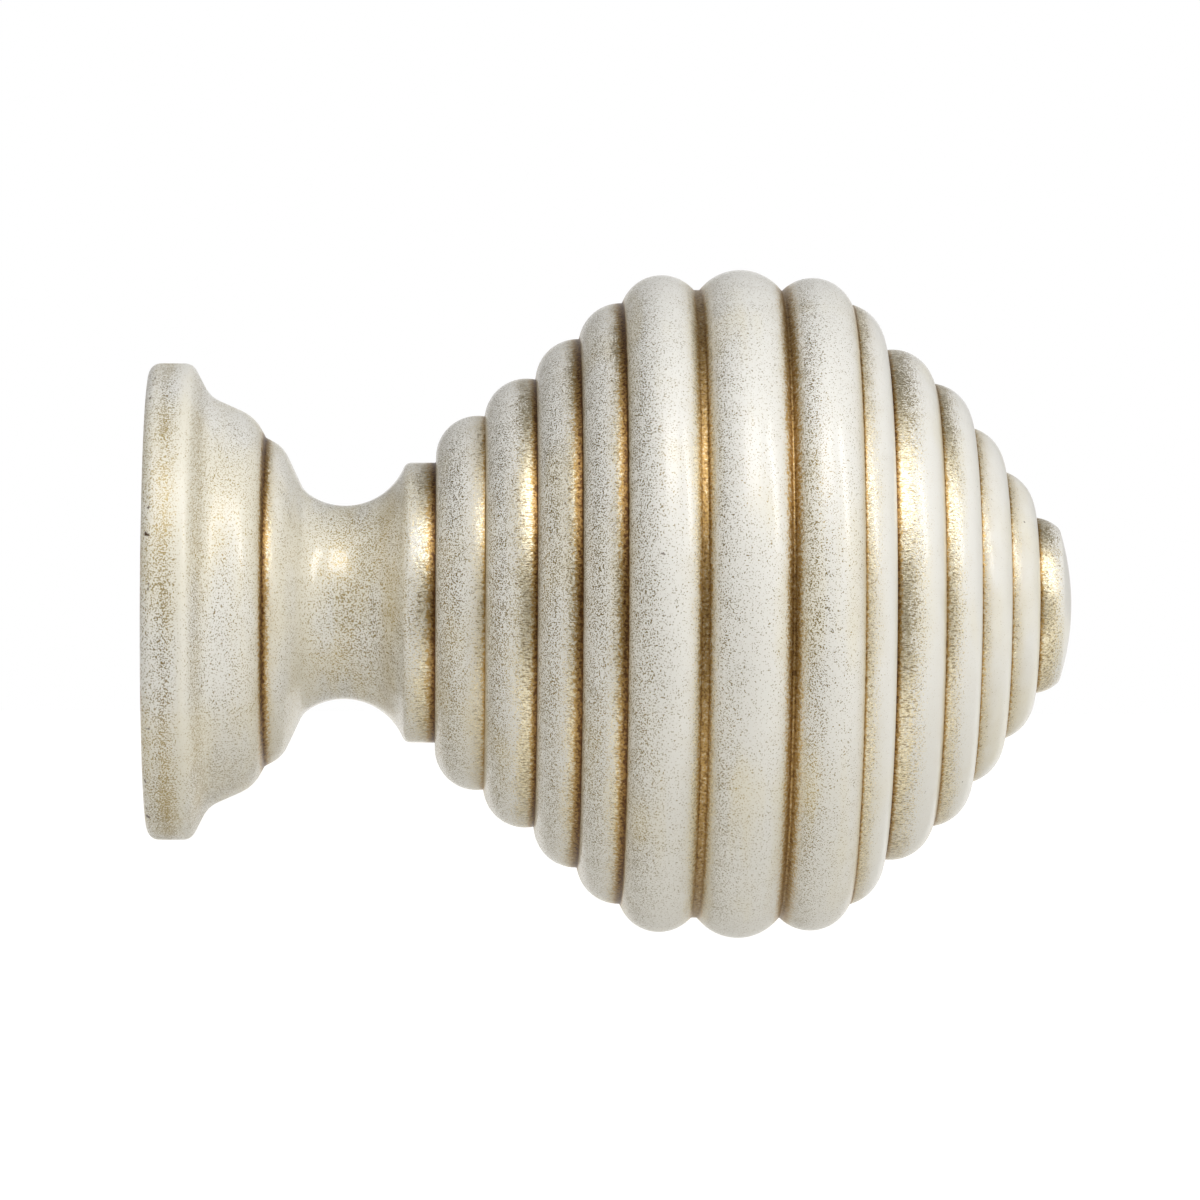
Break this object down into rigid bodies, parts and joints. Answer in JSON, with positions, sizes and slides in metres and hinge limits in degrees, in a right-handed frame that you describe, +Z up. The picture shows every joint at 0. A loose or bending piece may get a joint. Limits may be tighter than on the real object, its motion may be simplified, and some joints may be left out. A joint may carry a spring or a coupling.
{
  "type": "curtain pole finial",
  "caption": "Turned wooden curtain pole finial: a ribbed ball on a waisted neck and a moulded round foot, with a pilot hole in its flat back for a dowel screw.",
  "frame": {"origin": "centre of the foot's flat back, at the mouth of the pilot hole", "axes": "+X along the turning axis, from the pole towards the tip; +Z up"},
  "size_m": [0.1163, 0.0842, 0.0842],
  "materials": {
    "gilded_cream_paint": "satin cream paint rubbed back over gold leaf, with brown wax in the grooves"
  },
  "bodies": {
    "root": {"turned_finial": "gilded_cream_paint"}
  },
  "joints": []
}
